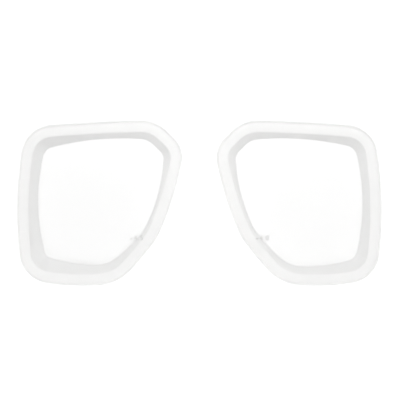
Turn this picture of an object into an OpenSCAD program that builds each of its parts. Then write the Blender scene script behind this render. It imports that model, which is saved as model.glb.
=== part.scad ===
// Pair of corrective glass lenses for a two-window diving mask.
// Each lens is one piece of glass: a flat polished front, a rim that the mask clamps,
// a sloping ground wall with a cove at its foot, and a polished spherical hollow at the back.
// The pair lies on its flat fronts, brow sides towards +Y and temple sides outwards,
// with the nose line at X = 0. Lens outlines are drawn for the right lens, nose towards -X.

/* [Pair] */
// Gap between the two lenses at the nose
lens_gap = 15; // [5:0.5:40]

/* [Sight] */
// Minus power of the left lens in dioptres
left_power = 4.5; // [1.5:0.5:5.5]
// How far the left optical centre sits towards the nose
left_optic_in = 5.6; // [0:0.1:8]
// How far the left optical centre sits towards the brow
left_optic_up = 4; // [0:0.1:6]
// Minus power of the right lens in dioptres
right_power = 4; // [1.5:0.5:5.5]
// How far the right optical centre sits towards the nose
right_optic_in = 3.2; // [0:0.1:8]
// How far the right optical centre sits towards the brow
right_optic_up = 2.8; // [0:0.1:6]
// Refractive index of the glass
glass_index = 1.523; // [1.5:0.001:1.6]

/* [Section] */
// Thickness of the clamped rim
rim_thick = 4; // [3:0.1:5]
// Width of the clamped rim
rim_w = 5.1; // [3:0.1:6]
// Thickness of the glass at the optical centre
centre_thick = 3.8; // [3:0.1:5.5]
// Lean of the ground wall from upright in degrees
wall_lean = 45; // [20:1:55]
// Radius of the cove between the rim and the wall
foot_cove = 1; // [0.3:0.1:1.5]
// Bevel around the front edge
front_bevel = 0.5; // [0.2:0.1:1]
// Bevel around the rear edge of the rim
rim_bevel = 0.9; // [0.2:0.1:1.5]

/* [Temple side] */
// Distance from the lens centre to the temple side
temple_reach = 36; // [33:0.1:40]
// Turn of the temple side towards the brow in degrees
temple_turn = 1.4; // [0:0.1:4]
// Bow radius of the temple side
temple_bow = 170; // [120:5:300]
// Radius of the two temple corners
temple_corner = 14; // [12.5:0.5:18]

/* [Brow side] */
// Distance from the lens centre to the brow side
brow_reach = 35.5; // [32:0.1:39]
// Turn of the brow side towards the temple in degrees
brow_turn = 3; // [0:0.1:6]
// Bow radius of the brow side
brow_bow = 600; // [300:10:900]
// Radius of the corner where the brow side meets the bridge cut
brow_corner = 16; // [12:0.5:18]

/* [Nose side] */
// How far the bridge cut stands back from the sharp upper nose corner
bridge_cut = 9.7; // [9:0.1:14]
// Turn of the bridge cut from the brow direction in degrees
bridge_turn = 44; // [38:1:50]
// Bow radius of the bridge cut
bridge_bow = 200; // [60:5:400]
// Radius of the corner where the bridge cut meets the nose side
bridge_corner = 12; // [10:0.5:13.5]
// Distance from the lens centre to both halves of the nose side
nose_reach = 29.2; // [27:0.1:32]
// Slant of the nose side from upright in degrees
nose_slant = 30; // [26:1:34]
// Bend between the two halves of the nose side in degrees
nose_bend = 14; // [10:1:18]
// Bow radius of both halves of the nose side
nose_bow = 150; // [120:5:250]
// Radius of the nose side's bend and of its lower corner
nose_corner = 21; // [15:0.5:24]

/* [Cheek side] */
// Distance from the lens centre to the cheek side
cheek_reach = 35.6; // [33:0.1:39]
// Turn of the cheek side towards the nose in degrees
cheek_turn = 6.5; // [2:0.5:10]
// Bow radius of the cheek side
cheek_bow = 100; // [80:5:200]

/* [Hidden] */

// One metre, the length that dioptres count by
metre = 1000;
// Largest gap between an arc and the short flats that draw it
arc_error = 0.01;
// Extra height of the wall's blank above the hollow that cuts it
wall_spare = 0.4;
// Flats across the cove at the foot of the wall
cove_flats = 3;
// Flats around the sphere that cuts the hollow
hollow_flats = 256;
glass_colour = [0.84, 0.88, 0.87, 0.75];

// A side is [heading, reach, bow radius]: where it faces, how far out it is and how it bows
temple_side = [temple_turn, temple_reach, temple_bow];
brow_side = [90 - brow_turn, brow_reach, brow_bow];
upper_nose_side = [180 + nose_slant - nose_bend / 2, nose_reach, nose_bow];
lower_nose_side = [180 + nose_slant + nose_bend / 2, nose_reach, nose_bow];
cheek_side = [270 - cheek_turn, cheek_reach, cheek_bow];

// The bridge cut is measured back from where the brow and nose sides would meet
bridge_heading = 90 + bridge_turn;
bridge_tip = corner_centre(brow_side, upper_nose_side, 0);
bridge_reach = bridge_tip * heading(bridge_heading) - bridge_cut;
bridge_side = [bridge_heading, bridge_reach, bridge_bow];

// Sides in order around the lens, each with the radius of the corner that follows it
sides = [temple_side, brow_side, bridge_side, upper_nose_side, lower_nose_side, cheek_side];
corners = [temple_corner, brow_corner, bridge_corner, nose_corner, nose_corner, temple_corner];
side_count = len(sides);

function heading(angle) = [cos(angle), sin(angle)];
// Heading of a vector, from -45 to 315 degrees so that it grows all the way around the lens
function heading_of(v) = let (a = atan2(v.y, v.x)) a < -45 ? a + 360 : a;
function bow_centre(side) = (side[1] - side[2]) * heading(side[0]);

// Centre of the arc of radius r that touches two neighbouring sides from inside
function corner_centre(side, next, r) =
    let (
        a = bow_centre(side),
        b = bow_centre(next),
        from_a = side[2] - r,
        from_b = next[2] - r,
        apart = norm(b - a),
        u = (b - a) / apart,
        along = (from_a * from_a - from_b * from_b + apart * apart) / (2 * apart),
        off = sqrt(from_a * from_a - along * along)
    )
    a + along * u + off * [-u.y, u.x];

// Points of an arc as [centre, radius, heading], without the last one
function arc(centre, r, start, stop) =
    let (
        span = stop - start,
        steps = ceil(span / (2 * acos(1 - arc_error / r)))
    )
    [for (i = [0:steps - 1]) [centre, r, start + span * i / steps]];

// Arc of one side, then the arc of the corner after it
function side_and_corner(i) =
    let (
        side = sides[i],
        next = sides[(i + 1) % side_count],
        last = (i + side_count - 1) % side_count,
        bow = bow_centre(side),
        before = corner_centre(sides[last], side, corners[last]),
        after = corner_centre(side, next, corners[i]),
        start = heading_of(before - bow),
        turn = heading_of(after - bow),
        stop = heading_of(after - bow_centre(next)) + (i == side_count - 1 ? 360 : 0)
    )
    concat(arc(bow, side[2], start, turn), arc(after, corners[i], turn, stop));

outline = [for (i = [0:side_count - 1]) each side_and_corner(i)];
outline_count = len(outline);

function inset_point(mark, inset) = mark[0] + (mark[1] - inset) * heading(mark[2]);
function ring(inset, z) = [for (mark = outline) let (p = inset_point(mark, inset)) [p.x, p.y, z]];

outer_ring = ring(0, 0);
nose_end = min([for (p = outer_ring) p.x]);
middle_y = (min([for (p = outer_ring) p.y]) + max([for (p = outer_ring) p.y])) / 2;

function hollow_radius(power) = metre * (glass_index - 1) / power;

// Height above the rim at which the sloping wall runs into the hollow
function wall_height(mark, optic, radius) =
    let (
        run = -tan(wall_lean) * heading(mark[2]),
        foot = inset_point(mark, rim_w) - optic,
        drop = rim_thick - centre_thick - radius,
        a = run * run + 1,
        b = foot * run + drop,
        c = foot * foot + drop * drop - radius * radius
    )
    (-b - sqrt(b * b - a * c)) / a;

// Rings up the outer edge, with a bevel at the front and one at the rear
function edge_rings() = [
    ring(front_bevel, 0),
    ring(0, front_bevel),
    ring(0, rim_thick - rim_bevel),
    ring(rim_bevel, rim_thick)
];

// Rings across the cove that leads from the rim's rear face into the wall
function cove_rings() =
    let (
        slope = 90 - wall_lean,
        start = rim_w - foot_cove * tan(slope / 2)
    )
    [
        for (k = [0:cove_flats])
            let (a = slope * k / cove_flats)
            ring(start + foot_cove * sin(a), rim_thick + foot_cove * (1 - cos(a)))
    ];

// Top of the wall's blank, a little inside the hollow
function wall_ring(optic, radius) = [
    for (mark = outline)
        let (
            rise = wall_height(mark, optic, radius) + wall_spare,
            p = inset_point(mark, rim_w + rise * tan(wall_lean))
        )
        [p.x, p.y, rim_thick + rise]
];

// Solid through a stack of rings with equal counts, closed below by a flat and above by a point
module stack(rings, tip) {
    n = outline_count;
    top = (len(rings) - 1) * n;
    walls = [
        for (k = [0:len(rings) - 2], i = [0:n - 1])
            let (j = (i + 1) % n)
            [k * n + i, (k + 1) * n + i, (k + 1) * n + j, k * n + j]
    ];
    roof = [for (i = [0:n - 1]) [top + i, len(rings) * n, top + (i + 1) % n]];
    polyhedron(
        points = concat([for (r = rings) each r], [tip]),
        faces = concat([[for (i = [0:n - 1]) i]], walls, roof)
    );
}

// Right lens about its own centre, flat front down
module lens(power, optic_in, optic_up) {
    radius = hollow_radius(power);
    optic = [-optic_in, optic_up];
    difference() {
        stack(
            concat(
                edge_rings(),
                cove_rings(),
                [wall_ring(optic, radius)]
            ),
            [optic.x, optic.y, centre_thick + radius]
        );
        translate([optic.x, optic.y, centre_thick + radius])
            sphere(r = radius, $fn = hollow_flats);
    }
}

// Right lens moved to its place beside the nose line
module placed_lens(power, optic_in, optic_up) {
    translate([lens_gap / 2 - nose_end, -middle_y, 0])
        lens(power, optic_in, optic_up);
}

module left_lens() {
    color(glass_colour)
        mirror([1, 0, 0])
            placed_lens(left_power, left_optic_in, left_optic_up);
}

module right_lens() {
    color(glass_colour)
        placed_lens(right_power, right_optic_in, right_optic_up);
}

left_lens();
right_lens();
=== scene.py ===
import cmath
import math
from collections import namedtuple

import bmesh
import bpy
from mathutils import Matrix, Vector


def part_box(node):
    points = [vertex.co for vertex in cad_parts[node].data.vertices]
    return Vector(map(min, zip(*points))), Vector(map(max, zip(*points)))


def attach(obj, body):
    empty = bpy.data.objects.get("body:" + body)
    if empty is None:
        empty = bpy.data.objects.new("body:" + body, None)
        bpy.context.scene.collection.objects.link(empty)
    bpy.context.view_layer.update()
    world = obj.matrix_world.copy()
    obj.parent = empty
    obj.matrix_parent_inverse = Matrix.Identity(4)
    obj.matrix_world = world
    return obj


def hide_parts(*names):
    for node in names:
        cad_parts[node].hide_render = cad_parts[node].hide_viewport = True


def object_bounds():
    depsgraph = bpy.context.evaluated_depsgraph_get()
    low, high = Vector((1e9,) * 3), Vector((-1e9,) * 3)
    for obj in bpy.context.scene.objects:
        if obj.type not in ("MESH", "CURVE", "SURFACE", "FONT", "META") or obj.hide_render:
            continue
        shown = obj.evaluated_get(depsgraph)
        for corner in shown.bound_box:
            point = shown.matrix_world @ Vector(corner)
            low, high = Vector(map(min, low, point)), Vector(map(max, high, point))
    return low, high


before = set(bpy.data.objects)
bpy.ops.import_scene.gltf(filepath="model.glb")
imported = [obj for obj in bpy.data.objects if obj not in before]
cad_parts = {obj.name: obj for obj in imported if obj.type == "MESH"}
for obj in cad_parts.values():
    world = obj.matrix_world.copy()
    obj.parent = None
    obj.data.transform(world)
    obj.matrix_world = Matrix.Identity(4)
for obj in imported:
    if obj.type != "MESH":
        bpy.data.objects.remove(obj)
cad_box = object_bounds()

MM = 0.001

# Lens sizes in mm, as in the part's source. The outline is the right lens's, nose towards -X.
RIM_THICK = 4.0
RIM_W = 5.1
CENTRE_THICK = 3.8
FOOT_COVE = 1.0
FRONT_BEVEL = 0.5
RIM_BEVEL = 0.9

# Wall: its lean from upright, its run inwards for each mm that it rises, and the turn of its cove
WALL_LEAN = math.radians(45)
WALL_RUN = math.tan(WALL_LEAN)
COVE_TURN = math.pi / 2 - WALL_LEAN

# Refractive index of the glass, and one metre in mm, which dioptres count by
GLASS_INDEX = 1.523
METRE = 1000.0

# Heading in degrees, reach and bow radius of a side, and the radius of the corner after it
Side = namedtuple("Side", "heading reach bow corner")
TEMPLE = Side(1.4, 36.0, 170.0, 14.0)
BROW = Side(87.0, 35.5, 600.0, 16.0)
UPPER_NOSE = Side(203.0, 29.2, 150.0, 21.0)
LOWER_NOSE = Side(217.0, 29.2, 150.0, 21.0)
CHEEK = Side(263.5, 35.6, 100.0, 14.0)

# The bridge cut, and how far it stands back from the sharp corner of the brow and nose sides
BRIDGE_HEADING = 134.0
BRIDGE_CUT = 9.7
BRIDGE_BOW = 200.0
BRIDGE_CORNER = 12.0

# Minus power in dioptres, place of the optical centre towards the nose and the brow, in mm,
# and distance of the printed number's middle from the nose line
Lens = namedtuple("Lens", "node mirrored power optic_in optic_up print_x")
LENSES = [
    Lens("left_lens", True, 4.5, 5.6, 4.0, 26.51),
    Lens("right_lens", False, 4.0, 3.2, 2.8, 28.31),
]

# Fineness of the meshes: longest step along a side in mm and around a corner in degrees,
# rings on the front and in the hollow, and steps over a rounded edge
SIDE_STEP = 1.5
CORNER_STEP = 2.5
FRONT_RINGS = 6
HOLLOW_RINGS = 18
SOFT_STEPS = 3

# Material slots of a lens
POLISHED, EDGE, LEDGE, COVE, WALL = range(5)

# Corners of the section: how many arrises the edge has, how far from each corner its rounding
# starts, in mm, and how wide the cove is
EDGE_ARRISES = 4
ARRIS_CUT = 0.12
FOOT_CUT = FOOT_COVE * math.tan(COVE_TURN / 2)
COVE_RUN = FOOT_COVE * math.sin(COVE_TURN)
CREST_CUT = 0.08

# How far the mesh keeps inside the CAD outline, and how far its section runs on to the polished
# faces, in mm
SKIN = 0.01
RUN_IN = 1.0

# How far flat faces outweigh the small rounded ones in the shading of a lens
FLAT_WEIGHT = 100

# Power printed on the rear, in mm: level and height of the number, and its minus sign
PRINT_Y = -15.15
PRINT_HEIGHT = 2.1
MINUS_W = 1.05
MINUS_H = 0.45
MINUS_PLACE = (-3.15, -0.3, 0)

# Spread of its figures, the grid that its mesh is cut to, the gap that is welded, the bend that is
# taken out, and the film of ink on the glass
PRINT_SPREAD = 1.15
PRINT_GRID = 0.125
PRINT_WELD = 0.01
PRINT_STRAIGHT = math.radians(1)
PRINT_LIFT = 0.01
PRINT_THICK = 0.02

# Noises as the size of their grain in mm and their detail, and the usual span of their values
Pattern = namedtuple("Pattern", "size detail")
WIPING = Pattern(6.0, 4.0)
CLOUDS = Pattern(4.0, 4.0)
GRAIN = Pattern(0.12, 3.0)
BLOTS = Pattern(0.3, 2.0)
FIBRES = Pattern(1.5, 4.0)
NOISE_SPAN = (0.3, 0.7)

# Polished glass
CLEAR_TINT = (0.982, 0.982, 0.98)
POLISHED_ROUGHNESS = (0.0, 0.02)

# Ground glass: colour, lift of its paler clouds, painted shade that darkens the wall up to its crest,
# roughness, distance between grinding lines, and depth of grain and lines in mm
MILKY_TINT = (1.0, 0.998, 0.991)
CLOUD_LIFT = 1.03
CREST_PAINTED_SHADE = 0.94
GROUND_ROUGHNESS = (0.45, 0.6)
LINE_STEP = 0.1
GRAIN_DEPTH = 0.01
LINE_DEPTH = 0.006

# Finishes of the ground surfaces, in the order of their slots
Ground = namedtuple("Ground", "name shade clearness")
GROUND_FINISHES = [
    Ground("ground edge", 0.965, 0.7),
    Ground("ground ledge", 0.945, 0.88),
    Ground("ground cove", 0.96, 0.68),
    Ground("ground wall", 0.97, 0.5),
]

# Ink of the printed numbers, with the depth of its blots in mm
INK_DARK = (0.66, 0.66, 0.65)
INK_PALE = (0.76, 0.76, 0.75)
INK_ROUGHNESS = 0.6
INK_DEPTH = 0.005

# Photograph's frame: scale, and where the middle of the pair lies in it
PHOTO_SIDE = 400
PX_PER_MM = 2.291
PAIR_MIDDLE_PX = (199.35, 203.2)

# Height of the camera over the lenses' outline, how far it sees, and the floor's drop below the
# lenses and half width, in metres
CAMERA_HEIGHT = 1.6
CAMERA_SIGHT = 4.8
FLOOR_DROP = 0.2 * MM
FLOOR_HALF = 4.0

# Light table: its surface, the place of its lamp below, in metres, and how its glow fades
# with distance from there
WHITE = (1, 1, 1, 1)
TABLE_DULL = (0.9, 0.9, 0.9)
TABLE_CLEAN = (0.92, 0.92, 0.92)
TABLE_ROUGHNESS = 0.9
TABLE_GLOSS = 0.1
LAMP_BELOW = (0, 0.06, 0)
GLOW_REACH = (0.03, 0.12)
GLOW_NEAR = 0.605
GLOW_FAR = 0.525

# Square lamps: place and width in metres, and brightness as radiance, which their size doesn't change
Lamp = namedtuple("Lamp", "name place width brightness")
LAMPS = [
    Lamp("overhead", (0, -0.55, 2.6), 4.4, 0.83),
    Lamp("left side", (-2.8, -0.4, 1.0), 1.8, 1.38),
    Lamp("right side", (2.8, -0.4, 1.0), 1.8, 1.38),
    Lamp("near side", (0, -2.8, 1.0), 1.8, 1.0),
]
ROOM_BRIGHTNESS = 0.2


def heading(degrees):
    return cmath.rect(1, math.radians(degrees))


def unit(vector):
    return vector / abs(vector)


def dot(a, b):
    """Scalar product of two vectors in the plane."""
    return (a * b.conjugate()).real


def bow_centre(side):
    return (side.reach - side.bow) * heading(side.heading)


def corner_centre(side, following, radius):
    """Centre of the arc of that radius that touches two neighbouring sides from inside."""
    a = bow_centre(side)
    b = bow_centre(following)
    from_a = side.bow - radius
    from_b = following.bow - radius
    apart = abs(b - a)
    along = (from_a**2 - from_b**2 + apart**2) / (2 * apart)
    off = math.sqrt(from_a**2 - along**2)
    return a + complex(along, off) * (b - a) / apart


def bridge_side():
    """The bridge cut, measured back from where the brow and nose sides would meet."""
    tip = corner_centre(BROW, UPPER_NOSE, 0)
    reach = dot(tip, heading(BRIDGE_HEADING)) - BRIDGE_CUT
    return Side(BRIDGE_HEADING, reach, BRIDGE_BOW, BRIDGE_CORNER)


SIDES = [TEMPLE, BROW, bridge_side(), UPPER_NOSE, LOWER_NOSE, CHEEK]

# A point of the outline as the arc it lies on, so that an inset only shortens the radius
Mark = namedtuple("Mark", "centre radius facing")


def arc(centre, radius, start, stop):
    """Marks along an arc between two headings, counter-clockwise, without the last."""
    turn = (math.degrees(cmath.phase(stop / start)) + 360) % 360
    steps = math.ceil(max(turn / CORNER_STEP, math.radians(turn) * radius / SIDE_STEP))
    return [Mark(centre, radius, start * heading(turn * i / steps)) for i in range(steps)]


def outline():
    """Marks all round the right lens: the arc of each side, then that of the corner after it."""
    marks = []
    for i, side in enumerate(SIDES):
        before = SIDES[i - 1]
        after = SIDES[(i + 1) % len(SIDES)]
        bow = bow_centre(side)
        first = corner_centre(before, side, before.corner)
        last = corner_centre(side, after, side.corner)
        turn = unit(last - bow)
        marks += arc(bow, side.bow, unit(first - bow), turn)
        marks += arc(last, side.corner, turn, unit(last - bow_centre(after)))
    return marks


OUTLINE = outline()


def inset(mark, distance):
    """Place of a mark that far inside the mesh's outline, which keeps SKIN inside the CAD's."""
    return mark.centre + (mark.radius - SKIN - distance) * mark.facing


class Hollow:
    """The spherical hollow of a lens about the lens's own centre."""

    def __init__(self, lens):
        self.radius = METRE * (GLASS_INDEX - 1) / lens.power
        self.optic = complex(-lens.optic_in, lens.optic_up)

    def height(self, spot):
        off = abs(spot - self.optic)
        return CENTRE_THICK + self.radius - math.sqrt(self.radius**2 - off**2)

    def wall_rise(self, mark):
        """Height above the rim at which the sloping wall runs into the hollow."""
        run = -WALL_RUN * mark.facing
        foot = inset(mark, RIM_W) - self.optic
        drop = RIM_THICK - CENTRE_THICK - self.radius
        a = abs(run) ** 2 + 1
        b = dot(foot, run) + drop
        c = abs(foot) ** 2 + drop**2 - self.radius**2
        return (-b - math.sqrt(b * b - a * c)) / a


def at(spot, height):
    return Vector((spot.real, spot.imag, height))


def soften(before, corner, after, cut):
    """Points of a small curve that rounds off a corner between two straight runs."""
    start = corner + (before - corner).normalized() * cut
    stop = corner + (after - corner).normalized() * cut
    shares = [i / SOFT_STEPS for i in range(SOFT_STEPS + 1)]
    return [start * (1 - t) ** 2 + corner * 2 * t * (1 - t) + stop * t**2 for t in shares]


def section(mark, hollow):
    """Points up one section of the lens, from the front face round the rim to the hollow."""
    rise = hollow.wall_rise(mark)
    crest = inset(mark, RIM_W + rise * WALL_RUN)
    landing = crest + unit(hollow.optic - crest) * RUN_IN
    corners = [
        at(inset(mark, FRONT_BEVEL + RUN_IN), 0),
        at(inset(mark, FRONT_BEVEL), 0),
        at(inset(mark, 0), FRONT_BEVEL),
        at(inset(mark, 0), RIM_THICK - RIM_BEVEL),
        at(inset(mark, RIM_BEVEL), RIM_THICK),
        at(inset(mark, RIM_W), RIM_THICK),
        at(crest, RIM_THICK + rise),
        at(landing, hollow.height(landing)),
    ]
    cuts = [ARRIS_CUT] * EDGE_ARRISES + [FOOT_CUT, CREST_CUT]
    points = [corners[0]]
    for before, corner, after, cut in zip(corners, corners[1:], corners[2:], cuts):
        points += soften(before, corner, after, cut)
    return points + [corners[-1]]


def front_ring(edge, share):
    return [Vector((p.x * share, p.y * share, 0)) for p in edge]


def hollow_ring(edge, share, hollow):
    """The hollow's edge drawn in towards the optical centre, on the sphere."""
    spots = [hollow.optic + (complex(p.x, p.y) - hollow.optic) * share for p in edge]
    return [at(s, hollow.height(s)) for s in spots]


def lens_rings(hollow):
    """Closed rings from the middle of the front face to the optical centre, and each band's finish."""
    sections = [section(mark, hollow) for mark in OUTLINE]
    rim = [list(ring) for ring in zip(*sections)]
    front = [front_ring(rim[0], i / FRONT_RINGS) for i in range(1, FRONT_RINGS)]
    shares = [1 - i / HOLLOW_RINGS for i in range(1, HOLLOW_RINGS)]
    back = [hollow_ring(rim[-1], share, hollow) for share in shares]
    bands = [POLISHED] * (len(front) + 1)
    bands += [EDGE] * (EDGE_ARRISES * SOFT_STEPS + EDGE_ARRISES - 1)
    bands += [LEDGE]
    bands += [COVE] * SOFT_STEPS
    bands += [WALL] * (SOFT_STEPS + 1)
    bands += [POLISHED] * (len(back) + 1)
    return front + rim + back, bands


def ring_faces(ring_count, around):
    """Quads between neighbouring rings, then fans to the two end points."""
    faces = []
    for k in range(ring_count - 1):
        low = k * around
        for i in range(around):
            j = (i + 1) % around
            faces.append((low + i, low + j, low + around + j, low + around + i))
    front_tip = ring_count * around
    last = (ring_count - 1) * around
    for i in range(around):
        j = (i + 1) % around
        faces.append((front_tip, j, i))
        faces.append((last + i, last + j, front_tip + 1))
    return faces


def across_values(rings):
    """Mean length of the section up to each ring, which the grinding lines follow."""
    values = [0.0]
    for low, high in zip(rings, rings[1:]):
        steps = [(b - a).length * MM for a, b in zip(low, high)]
        values.append(values[-1] + sum(steps) / len(steps))
    return values


def painted_crest_shade_mask(bands):
    """Mask of the wall's painted shade: 0 at each ring up to the foot of the wall, and 1 at each from
    its crest on.
    """
    foot = bands.index(WALL)
    return [0.0 if k <= foot else 1.0 for k in range(len(bands) + 1)]


def set_rings(mesh, name, values):
    """An attribute with one value for each ring, and the first and last for the two end points."""
    attribute = mesh.attributes.new(name, "FLOAT", "POINT")
    on_rings = [value for value in values for _ in OUTLINE]
    attribute.data.foreach_set("value", on_rings + [values[0], values[-1]])


def own_centre(lens):
    """Where a lens's own centre lies, in mm, with the left lens mirrored to the right."""
    low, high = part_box(lens.node)
    edge = [inset(mark, 0) for mark in OUTLINE]
    nose_x = -high.x if lens.mirrored else low.x
    x = nose_x / MM + SKIN - min(spot.real for spot in edge)
    y = low.y / MM + SKIN - min(spot.imag for spot in edge)
    return x, y, low.z / MM


def new_piece(name, points, faces, materials, lens):
    """A mesh riding on the root body, from points about the lens's own centre, in mm."""
    x, y, z = own_centre(lens)
    sign = -1 if lens.mirrored else 1
    moved = [(sign * (x + p.x) * MM, (y + p.y) * MM, (z + p.z) * MM) for p in points]
    turned = [face[::-1] for face in faces] if lens.mirrored else faces
    mesh = bpy.data.meshes.new(name)
    mesh.from_pydata(moved, [], turned)
    for material in materials:
        mesh.materials.append(material)
    piece = bpy.data.objects.new(name, mesh)
    bpy.context.scene.collection.objects.link(piece)
    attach(piece, "root")
    return piece


def lens_piece(lens, finishes):
    """One lens: polished front and hollow, ground rim and wall."""
    hollow = Hollow(lens)
    rings, bands = lens_rings(hollow)
    around = len(OUTLINE)
    points = [p for ring in rings for p in ring]
    points += [Vector((0, 0, 0)), at(hollow.optic, CENTRE_THICK)]
    faces = ring_faces(len(rings), around)
    piece = new_piece(lens.node + "_glass", points, faces, finishes, lens)
    mesh = piece.data
    slots = [band for band in bands for _ in OUTLINE] + [POLISHED] * (2 * around)
    mesh.polygons.foreach_set("material_index", slots)
    mesh.polygons.foreach_set("use_smooth", [True] * len(faces))
    set_rings(mesh, "across", across_values(rings))
    # Mask of the painted shade that darkens the wall up to its crest
    set_rings(mesh, "rise", painted_crest_shade_mask(bands))
    weighted = piece.modifiers.new("flat faces stay flat", "WEIGHTED_NORMAL")
    weighted.mode = "FACE_AREA"
    weighted.weight = FLAT_WEIGHT
    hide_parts(lens.node)
    return piece


def rear_height(spot, hollow):
    """Height of the rear surface over a spot, on the rim, its cove, the wall or the hollow."""
    edge = min(OUTLINE, key=lambda mark: abs(spot - inset(mark, 0)))
    depth = dot(inset(edge, 0) - spot, edge.facing)
    into_cove = min(max(depth - RIM_W + FOOT_CUT, 0), COVE_RUN)
    cove = RIM_THICK + FOOT_COVE - math.sqrt(FOOT_COVE**2 - into_cove**2)
    wall = RIM_THICK + (depth - RIM_W) / WALL_RUN
    return min(max(cove, wall), hollow.height(spot))


def flat_number(power):
    """A number as a flat mesh about its middle, in mm."""
    curve = bpy.data.curves.new("power text", "FONT")
    curve.body = f"{power:.1f}"
    curve.space_character = PRINT_SPREAD
    curve.align_x = "CENTER"
    curve.align_y = "CENTER"
    writing = bpy.data.objects.new("power text", curve)
    flat = bmesh.new()
    flat.from_mesh(writing.to_mesh())
    bpy.data.objects.remove(writing)
    bpy.data.curves.remove(curve)
    heights = [vert.co.y for vert in flat.verts]
    scale = PRINT_HEIGHT / (max(heights) - min(heights))
    bmesh.ops.scale(flat, vec=(scale, scale, scale), verts=flat.verts)
    return flat


def cut_to_grid(flat, axis):
    """Cut flat faces at even steps along an axis."""
    reach = max(abs(vert.co.dot(axis)) for vert in flat.verts)
    steps = math.ceil(reach / PRINT_GRID)
    for i in range(-steps, steps + 1):
        place = axis * (i * PRINT_GRID)
        parts = flat.verts[:] + flat.edges[:] + flat.faces[:]
        bmesh.ops.bisect_plane(flat, geom=parts, dist=PRINT_WELD / 2, plane_co=place, plane_no=axis)


def flat_power(power):
    """A minus power as a flat mesh of small even triangles, which can follow a curved surface."""
    flat = flat_number(power)
    minus = Matrix.Translation(MINUS_PLACE) @ Matrix.Diagonal((MINUS_W, MINUS_H, 1, 1))
    bmesh.ops.create_grid(flat, x_segments=1, y_segments=1, size=0.5, matrix=minus)
    bmesh.ops.dissolve_limit(flat, angle_limit=PRINT_STRAIGHT, verts=flat.verts, edges=flat.edges)
    bmesh.ops.triangulate(flat, faces=flat.faces)
    cut_to_grid(flat, Vector((1, 0, 0)))
    cut_to_grid(flat, Vector((0, 1, 0)))
    bmesh.ops.remove_doubles(flat, verts=flat.verts, dist=PRINT_WELD)
    bmesh.ops.dissolve_degenerate(flat, dist=PRINT_WELD / 2, edges=flat.edges)
    bmesh.ops.triangulate(flat, faces=flat.faces)
    return flat


def print_piece(lens, ink):
    """The lens's power, printed thinly on the rear surface."""
    hollow = Hollow(lens)
    x, _, _ = own_centre(lens)
    middle = complex(lens.print_x - x, PRINT_Y)
    sign = -1 if lens.mirrored else 1
    film = flat_power(lens.power)
    for vert in film.verts:
        spot = middle + complex(sign * vert.co.x, vert.co.y)
        vert.co = at(spot, rear_height(spot, hollow) + PRINT_LIFT)
    if lens.mirrored:
        bmesh.ops.reverse_faces(film, faces=film.faces)
    raised = bmesh.ops.extrude_face_region(film, geom=film.faces[:])["geom"]
    tops = [item for item in raised if isinstance(item, bmesh.types.BMVert)]
    bmesh.ops.translate(film, vec=(0, 0, PRINT_THICK), verts=tops)
    film.verts.index_update()
    points = [vert.co.copy() for vert in film.verts]
    faces = [[vert.index for vert in face.verts] for face in film.faces]
    film.free()
    return new_piece(lens.node + "_power", points, faces, [ink], lens)


def new_material(name):
    """A material with its shader and the object coordinates that its patterns follow."""
    material = bpy.data.materials.new(name)
    material.use_nodes = True
    nodes = material.node_tree.nodes
    shader = nodes["Principled BSDF"]
    place = nodes.new("ShaderNodeTexCoord").outputs["Object"]
    return material, shader, place


def noise(material, place, pattern):
    """Noise that keeps its place on the object."""
    node = material.node_tree.nodes.new("ShaderNodeTexNoise")
    node.inputs["Scale"].default_value = 1 / (pattern.size * MM)
    node.inputs["Detail"].default_value = pattern.detail
    material.node_tree.links.new(place, node.inputs["Vector"])
    return node.outputs["Fac"]


def ring_value(material, name):
    """An attribute that the lens's rings carry."""
    node = material.node_tree.nodes.new("ShaderNodeAttribute")
    node.attribute_name = name
    return node.outputs["Fac"]


def grinding_lines(material):
    """Noise in one direction, across the section, so that its lines run round the lens."""
    node = material.node_tree.nodes.new("ShaderNodeTexNoise")
    node.noise_dimensions = "1D"
    node.inputs["Scale"].default_value = 1 / (LINE_STEP * MM)
    material.node_tree.links.new(ring_value(material, "across"), node.inputs["W"])
    return node.outputs["Fac"]


def spread(material, factor, low, high, span=NOISE_SPAN):
    """The factor's span, mapped to a low and a high value."""
    node = material.node_tree.nodes.new("ShaderNodeMapRange")
    node.inputs["From Min"].default_value = span[0]
    node.inputs["From Max"].default_value = span[1]
    node.inputs["To Min"].default_value = low
    node.inputs["To Max"].default_value = high
    material.node_tree.links.new(factor, node.inputs["Value"])
    return node.outputs["Result"]


def tint(material, factor, low, high):
    """A colour between two, by a factor."""
    node = material.node_tree.nodes.new("ShaderNodeMix")
    node.data_type = "RGBA"
    node.inputs["A"].default_value = (*low, 1)
    node.inputs["B"].default_value = (*high, 1)
    material.node_tree.links.new(factor, node.inputs["Factor"])
    return node.outputs["Result"]


def multiply(material, colour, factor):
    """A colour times a plain factor."""
    node = material.node_tree.nodes.new("ShaderNodeMix")
    node.data_type = "RGBA"
    node.blend_type = "MULTIPLY"
    node.inputs["Factor"].default_value = 1
    material.node_tree.links.new(colour, node.inputs["A"])
    material.node_tree.links.new(factor, node.inputs["B"])
    return node.outputs["Result"]


def bump(material, height, depth, below=None):
    """A bump of that depth in mm, on top of another where one is given."""
    node = material.node_tree.nodes.new("ShaderNodeBump")
    node.inputs["Distance"].default_value = depth * MM
    material.node_tree.links.new(height, node.inputs["Height"])
    if below is not None:
        material.node_tree.links.new(below, node.inputs["Normal"])
    return node.outputs["Normal"]


def polished_glass():
    """Clear optical glass with the faintest trace of wiping on its polish."""
    material, shader, place = new_material("polished glass")
    shader.inputs["Base Color"].default_value = (*CLEAR_TINT, 1)
    shader.inputs["IOR"].default_value = GLASS_INDEX
    shader.inputs["Transmission Weight"].default_value = 1.0
    roughness = spread(material, noise(material, place, WIPING), *POLISHED_ROUGHNESS)
    material.node_tree.links.new(roughness, shader.inputs["Roughness"])
    return material


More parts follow.
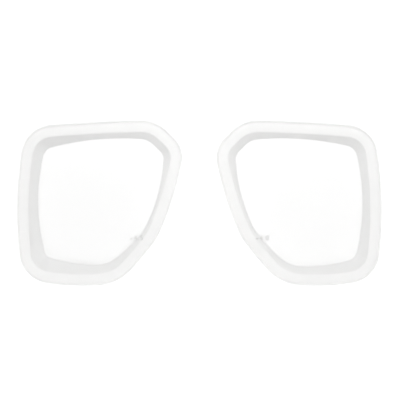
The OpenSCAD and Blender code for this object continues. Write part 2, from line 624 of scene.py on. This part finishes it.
def ground_glass(finish):
    """Fine-ground glass: a milky grain, with grinding lines that run round the lens, and painted shade
    that darkens the wall up to its crest.
    """
    material, shader, place = new_material(finish.name)
    links = material.node_tree.links
    shader.inputs["IOR"].default_value = GLASS_INDEX
    shader.inputs["Transmission Weight"].default_value = finish.clearness
    dull = [finish.shade * c for c in MILKY_TINT]
    clean = [c * CLOUD_LIFT for c in dull]
    milk = tint(material, noise(material, place, CLOUDS), dull, clean)
    # Painted shade: the wall's colour darkens up to its crest
    crest_painted_shade = spread(material, ring_value(material, "rise"), 1.0, CREST_PAINTED_SHADE, (0, 1))
    links.new(multiply(material, milk, crest_painted_shade), shader.inputs["Base Color"])
    grain = noise(material, place, GRAIN)
    links.new(spread(material, grain, *GROUND_ROUGHNESS), shader.inputs["Roughness"])
    grained = bump(material, grain, GRAIN_DEPTH)
    lined = bump(material, grinding_lines(material), LINE_DEPTH, grained)
    links.new(lined, shader.inputs["Normal"])
    return material


def print_ink():
    """Pale grey printing, a little uneven."""
    material, shader, place = new_material("pale print")
    links = material.node_tree.links
    shader.inputs["Roughness"].default_value = INK_ROUGHNESS
    blots = noise(material, place, BLOTS)
    links.new(tint(material, blots, INK_DARK, INK_PALE), shader.inputs["Base Color"])
    links.new(bump(material, blots, INK_DEPTH), shader.inputs["Normal"])
    return material


def light_table():
    """White acrylic with a soft glow from below, as glass is photographed on."""
    material, shader, place = new_material("light table")
    links = material.node_tree.links
    shader.inputs["Roughness"].default_value = TABLE_ROUGHNESS
    shader.inputs["Specular IOR Level"].default_value = TABLE_GLOSS
    shader.inputs["Emission Color"].default_value = WHITE
    away = material.node_tree.nodes.new("ShaderNodeVectorMath")
    away.operation = "DISTANCE"
    away.inputs[1].default_value = LAMP_BELOW
    links.new(place, away.inputs[0])
    glow = spread(material, away.outputs["Value"], GLOW_NEAR, GLOW_FAR, GLOW_REACH)
    links.new(glow, shader.inputs["Emission Strength"])
    fibres = noise(material, place, FIBRES)
    links.new(tint(material, fibres, TABLE_DULL, TABLE_CLEAN), shader.inputs["Base Color"])
    return material


def floor():
    """The light table's top, just below the lenses."""
    z = cad_box[0].z - FLOOR_DROP
    signs = [(-1, -1), (1, -1), (1, 1), (-1, 1)]
    corners = [(x * FLOOR_HALF, y * FLOOR_HALF, z) for x, y in signs]
    mesh = bpy.data.meshes.new("floor")
    mesh.from_pydata(corners, [], [(0, 1, 2, 3)])
    mesh.materials.append(light_table())
    sheet = bpy.data.objects.new("floor", mesh)
    bpy.context.scene.collection.objects.link(sheet)


def softbox(lamp):
    """A square lamp turned to the object."""
    light = bpy.data.lights.new(lamp.name, "AREA")
    light.size = lamp.width
    light.energy = lamp.brightness * math.pi * lamp.width**2
    box = bpy.data.objects.new(lamp.name, light)
    box.location = lamp.place
    box.rotation_euler = (-Vector(lamp.place)).to_track_quat("-Z", "Y").to_euler()
    bpy.context.scene.collection.objects.link(box)


def studio():
    """Soft light from above, both sides and below the picture, and less from beyond the brow."""
    world = bpy.data.worlds.new("studio")
    world.use_nodes = True
    background = world.node_tree.nodes["Background"]
    background.inputs["Color"].default_value = WHITE
    background.inputs["Strength"].default_value = ROOM_BRIGHTNESS
    bpy.context.scene.world = world
    for lamp in LAMPS:
        softbox(lamp)


def camera():
    """Straight down over the pair, so that it fills the photograph's frame as it does there."""
    data = bpy.data.cameras.new("camera")
    eye = bpy.data.objects.new("camera", data)
    middle = PHOTO_SIDE / 2
    outline_top = cad_box[0].z + (RIM_THICK - RIM_BEVEL) * MM
    x = (middle - PAIR_MIDDLE_PX[0]) / PX_PER_MM * MM
    y = (PAIR_MIDDLE_PX[1] - middle) / PX_PER_MM * MM
    eye.location = (x, y, outline_top + CAMERA_HEIGHT)
    data.lens = data.sensor_width * CAMERA_HEIGHT / (PHOTO_SIDE / PX_PER_MM * MM)
    data.clip_end = CAMERA_SIGHT
    bpy.context.scene.collection.objects.link(eye)
    bpy.context.scene.camera = eye


lens_finishes = [polished_glass()] + [ground_glass(finish) for finish in GROUND_FINISHES]
ink = print_ink()
for lens in LENSES:
    lens_piece(lens, lens_finishes)
    print_piece(lens, ink)
floor()
studio()
camera()
bpy.context.scene.view_settings.view_transform = "Standard"
